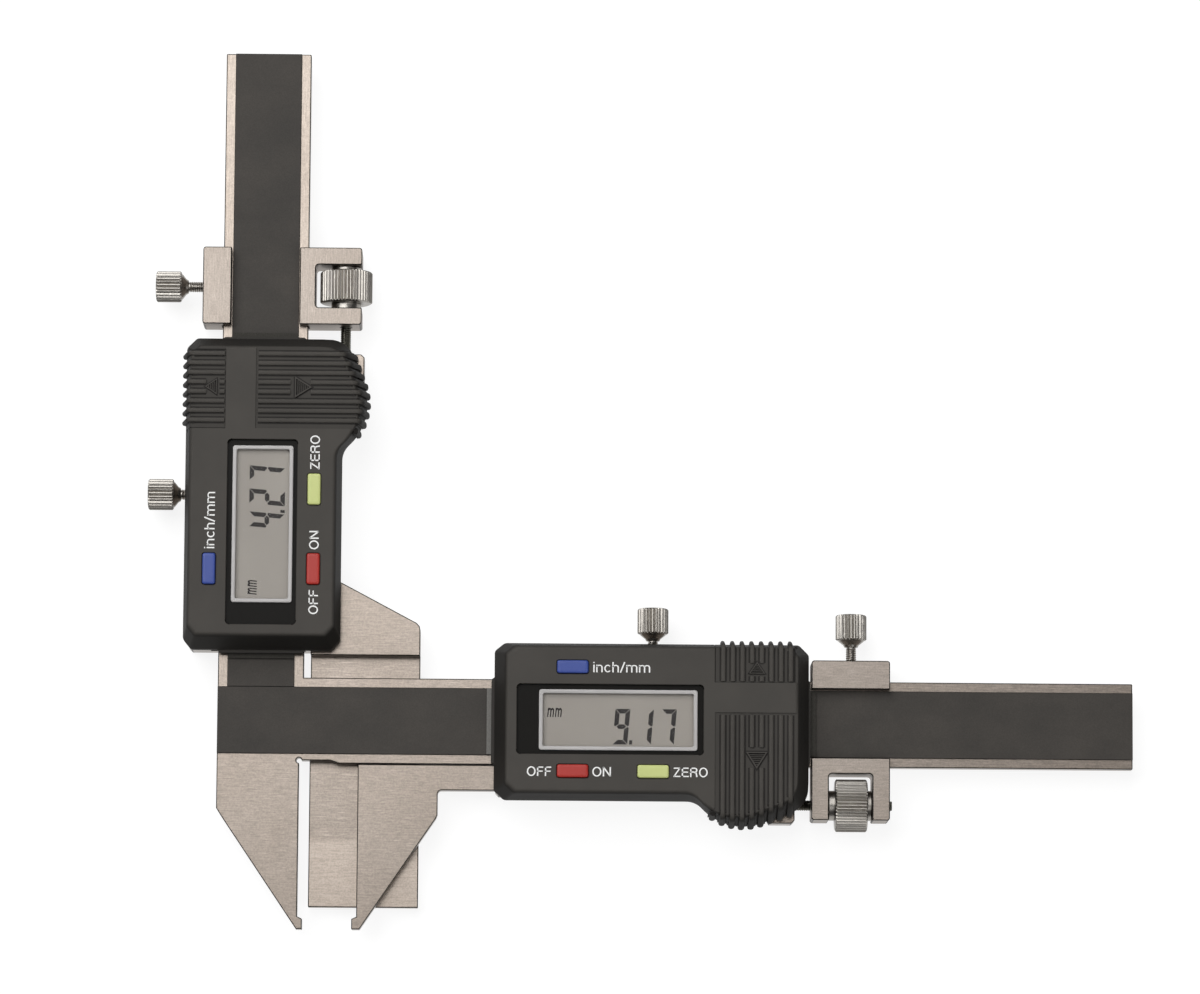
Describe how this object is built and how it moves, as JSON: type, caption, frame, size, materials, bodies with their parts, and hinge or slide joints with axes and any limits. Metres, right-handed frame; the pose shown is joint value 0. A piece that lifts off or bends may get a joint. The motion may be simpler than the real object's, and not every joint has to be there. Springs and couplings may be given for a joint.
{
  "type": "digital gear tooth caliper",
  "caption": "Digital gear tooth caliper: L-shaped steel frame, sliding jaw for tooth width and sliding tongue for tooth height, each with its own display head and fine adjustment.",
  "frame": {"origin": "tip corner of the fixed jaw's measuring face, in the middle of the frame's thickness", "axes": "+X along the horizontal beam, towards the movable jaw; +Y up the vertical beam, away from the jaw tips; +Z out of the displays"},
  "size_m": [0.1842, 0.165, 0.0149],
  "materials": {
    "stainless": "satin ground",
    "carriage_steel": "fine ground",
    "knurled_steel": "bright nickel",
    "screw_steel": "bright",
    "rod_steel": "oiled",
    "scale_plastic": "matt laminate",
    "housing_plastic": "fine matt",
    "door_plastic": "fine matt",
    "wiper_felt": "felt",
    "gib_bronze": "plain",
    "contact_bronze": "bright",
    "frame_plastic": "printed silver",
    "lens_plastic": "clear acrylic",
    "display_glass": "grey liquid crystal",
    "zebra_rubber": "soft",
    "board": "solder mask",
    "cell_steel": "bright",
    "blue_plastic": "satin",
    "red_plastic": "satin",
    "green_plastic": "satin"
  },
  "bodies": {
    "frame": {"main_frame": "stainless", "horizontal_scale": "scale_plastic", "vertical_scale": "scale_plastic"},
    "width_head": {"h_slider_jaw": "stainless", "h_gib": "gib_bronze", "h_gib_screws": "screw_steel", "h_fine_rod": "rod_steel", "h_housing": "housing_plastic", "h_housing_screws": "screw_steel", "h_wipers": "wiper_felt", "h_display_frame": "frame_plastic", "h_display_glass": "display_glass", "h_display_lens": "lens_plastic", "h_zebra_strips": "zebra_rubber", "h_circuit_board": "board", "h_switch_domes": "contact_bronze", "h_battery": "cell_steel", "h_battery_contacts": "contact_bronze"},
    "width_lock_screw": {"h_lock_screw": "knurled_steel"},
    "width_unit_button": {"h_unit_button": "blue_plastic"},
    "width_power_button": {"h_power_button": "red_plastic"},
    "width_zero_button": {"h_zero_button": "green_plastic"},
    "width_battery_door": {"h_battery_door": "door_plastic"},
    "width_carriage": {"h_carriage": "carriage_steel", "h_brake_pad": "gib_bronze"},
    "width_clamp_screw": {"h_clamp_screw": "knurled_steel"},
    "width_fine_nut": {"h_fine_nut": "knurled_steel"},
    "height_head": {"v_slider_tongue": "stainless", "v_gib": "gib_bronze", "v_gib_screws": "screw_steel", "v_fine_rod": "rod_steel", "v_housing": "housing_plastic", "v_housing_screws": "screw_steel", "v_wipers": "wiper_felt", "v_display_frame": "frame_plastic", "v_display_glass": "display_glass", "v_display_lens": "lens_plastic", "v_zebra_strips": "zebra_rubber", "v_circuit_board": "board", "v_switch_domes": "contact_bronze", "v_battery": "cell_steel", "v_battery_contacts": "contact_bronze"},
    "height_lock_screw": {"v_lock_screw": "knurled_steel"},
    "height_unit_button": {"v_unit_button": "blue_plastic"},
    "height_power_button": {"v_power_button": "red_plastic"},
    "height_zero_button": {"v_zero_button": "green_plastic"},
    "height_battery_door": {"v_battery_door": "door_plastic"},
    "height_carriage": {"v_carriage": "carriage_steel", "v_brake_pad": "gib_bronze"},
    "height_clamp_screw": {"v_clamp_screw": "knurled_steel"},
    "height_fine_nut": {"v_fine_nut": "knurled_steel"}
  },
  "joints": [
    {"name": "width_slide", "type": "slide", "parent": "frame", "child": "width_head", "axis": [1, 0, 0], "range_m": [-0.00915, 0.04083]},
    {"name": "width_lock_turn", "type": "hinge", "parent": "width_head", "child": "width_lock_screw", "pos_m": [0.06487, 0.03885, 0], "axis": [0, 1, 0], "range_deg": [0, 720]},
    {"name": "width_unit_press", "type": "slide", "parent": "width_head", "child": "width_unit_button", "axis": [0, 0, -1], "range_m": [0, 0.00035], "stiffness_N_per_m": 500, "springref_m": -0.0001},
    {"name": "width_power_press", "type": "slide", "parent": "width_head", "child": "width_power_button", "axis": [0, 0, -1], "range_m": [0, 0.00035], "stiffness_N_per_m": 500, "springref_m": -0.0001},
    {"name": "width_zero_press", "type": "slide", "parent": "width_head", "child": "width_zero_button", "axis": [0, 0, -1], "range_m": [0, 0.00035], "stiffness_N_per_m": 500, "springref_m": -0.0001},
    {"name": "width_battery_door_slide", "type": "slide", "parent": "width_head", "child": "width_battery_door", "axis": [0, 1, 0], "range_m": [0, 0.01]},
    {"name": "width_fine_slide", "type": "slide", "parent": "width_head", "child": "width_carriage", "axis": [1, 0, 0], "range_m": [-0.0001, 0.0049]},
    {"name": "width_nut_turn", "type": "hinge", "parent": "width_carriage", "child": "width_fine_nut", "pos_m": [0.10142, 0.0238, 0], "axis": [1, 0, 0], "range_deg": [-91, 4411]},
    {"name": "width_clamp_turn", "type": "hinge", "parent": "width_carriage", "child": "width_clamp_screw", "pos_m": [0.10192, 0.03885, 0], "axis": [0, 1, 0], "range_deg": [0, 720]},
    {"name": "height_slide", "type": "slide", "parent": "frame", "child": "height_head", "axis": [0, 1, 0], "range_m": [-0.00425, 0.0307]},
    {"name": "height_lock_turn", "type": "hinge", "parent": "height_head", "child": "height_lock_screw", "pos_m": [-0.0082, 0.08122, 0], "axis": [-1, 0, 0], "range_deg": [0, 720]},
    {"name": "height_unit_press", "type": "slide", "parent": "height_head", "child": "height_unit_button", "axis": [0, 0, -1], "range_m": [0, 0.00035], "stiffness_N_per_m": 500, "springref_m": -0.0001},
    {"name": "height_power_press", "type": "slide", "parent": "height_head", "child": "height_power_button", "axis": [0, 0, -1], "range_m": [0, 0.00035], "stiffness_N_per_m": 500, "springref_m": -0.0001},
    {"name": "height_zero_press", "type": "slide", "parent": "height_head", "child": "height_zero_button", "axis": [0, 0, -1], "range_m": [0, 0.00035], "stiffness_N_per_m": 500, "springref_m": -0.0001},
    {"name": "height_battery_door_slide", "type": "slide", "parent": "height_head", "child": "height_battery_door", "axis": [-1, 0, 0], "range_m": [0, 0.01]},
    {"name": "height_fine_slide", "type": "slide", "parent": "height_head", "child": "height_carriage", "axis": [0, 1, 0], "range_m": [-0.00245, 0.00255]},
    {"name": "height_nut_turn", "type": "hinge", "parent": "height_carriage", "child": "height_fine_nut", "pos_m": [0.00685, 0.12012, 0], "axis": [0, 1, 0], "range_deg": [-2206, 2296]},
    {"name": "height_clamp_turn", "type": "hinge", "parent": "height_carriage", "child": "height_clamp_screw", "pos_m": [-0.0082, 0.12062, 0], "axis": [-1, 0, 0], "range_deg": [0, 720]}
  ],
  "couplings": [
    {"joint": "width_nut_turn", "follows": "width_fine_slide", "rad_per_m": 15708},
    {"joint": "height_nut_turn", "follows": "height_fine_slide", "rad_per_m": 15708}
  ]
}
